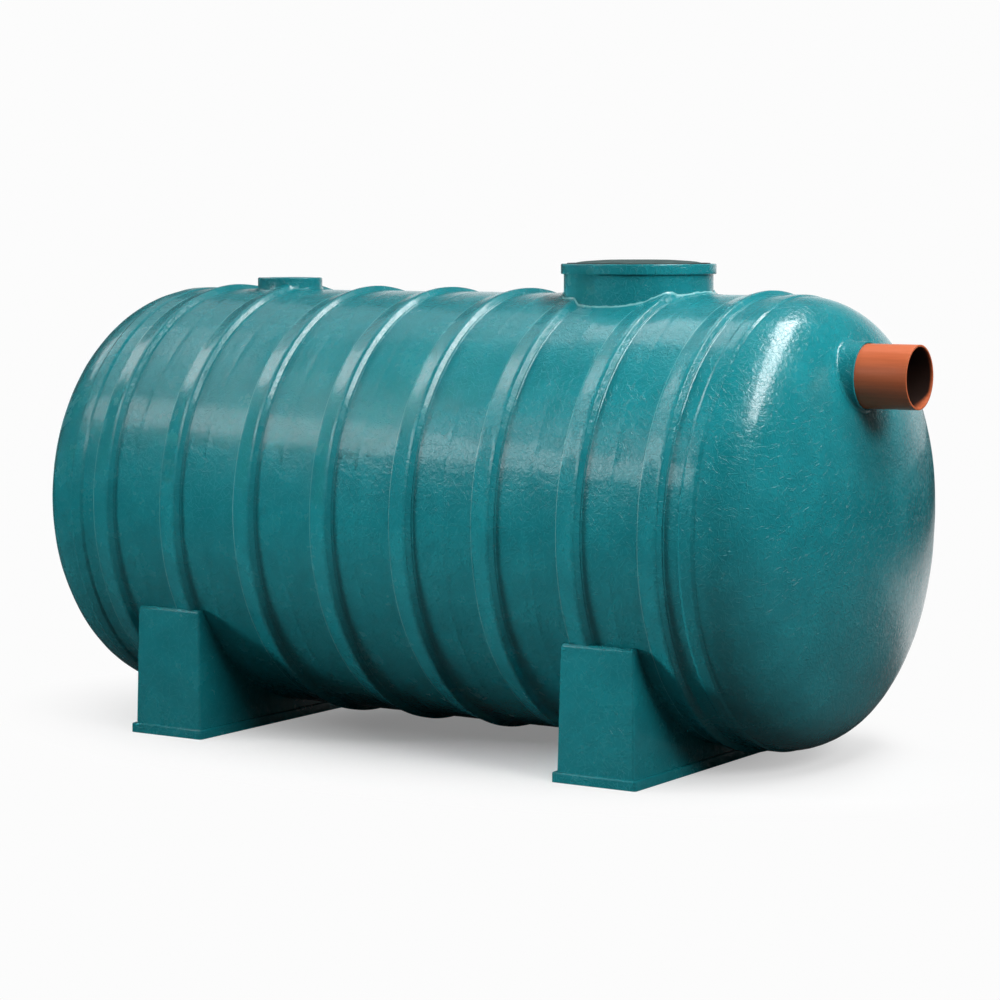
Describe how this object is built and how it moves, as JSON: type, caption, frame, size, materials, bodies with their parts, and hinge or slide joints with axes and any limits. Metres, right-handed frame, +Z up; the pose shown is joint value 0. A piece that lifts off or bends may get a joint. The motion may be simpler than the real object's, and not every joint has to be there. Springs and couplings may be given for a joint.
{
  "type": "underground water tank",
  "caption": "Horizontal ribbed glass-fibre tank on two saddles, with dished ends, a covered manway, a small open neck and a drain pipe stub; stores water below ground.",
  "frame": {"origin": "on the ground under the middle of the whole length", "axes": "+X along the tank towards the piped end, +Z up, -Y towards the viewer of the picture"},
  "size_m": [3.9354, 1.84, 1.99],
  "materials": {
    "gelcoat": "teal gelcoat over chopped-strand laminate, satin gloss",
    "rubber": "black, matt",
    "cover": "dark grey, satin",
    "pipe": "orange-brown drain pipe, smooth"
  },
  "bodies": {
    "root": {"barrel_top": "gelcoat", "barrel_front_shoulder": "gelcoat", "barrel_back_shoulder": "gelcoat", "barrel_front_upper": "gelcoat", "barrel_front_lower": "gelcoat", "barrel_bottom_front": "gelcoat", "barrel_bottom_back": "gelcoat", "barrel_back_lower": "gelcoat", "barrel_back_upper": "gelcoat", "dished_end_left": "gelcoat", "dished_end_right": "gelcoat", "joint_band_left": "gelcoat", "joint_band_right": "gelcoat", "rib_1": "gelcoat", "rib_2": "gelcoat", "rib_3": "gelcoat", "rib_4": "gelcoat", "rib_5": "gelcoat", "rib_6": "gelcoat", "rib_7": "gelcoat", "rib_8": "gelcoat", "manway_neck": "gelcoat", "manway_rim": "gelcoat", "small_neck": "gelcoat", "small_neck_lip": "gelcoat", "pipe_collar": "gelcoat", "saddle_left": "gelcoat", "saddle_right": "gelcoat", "foot_plate_left": "gelcoat", "foot_plate_right": "gelcoat", "manway_seal": "rubber", "manway_cover": "cover", "drain_pipe": "pipe"}
  },
  "joints": []
}
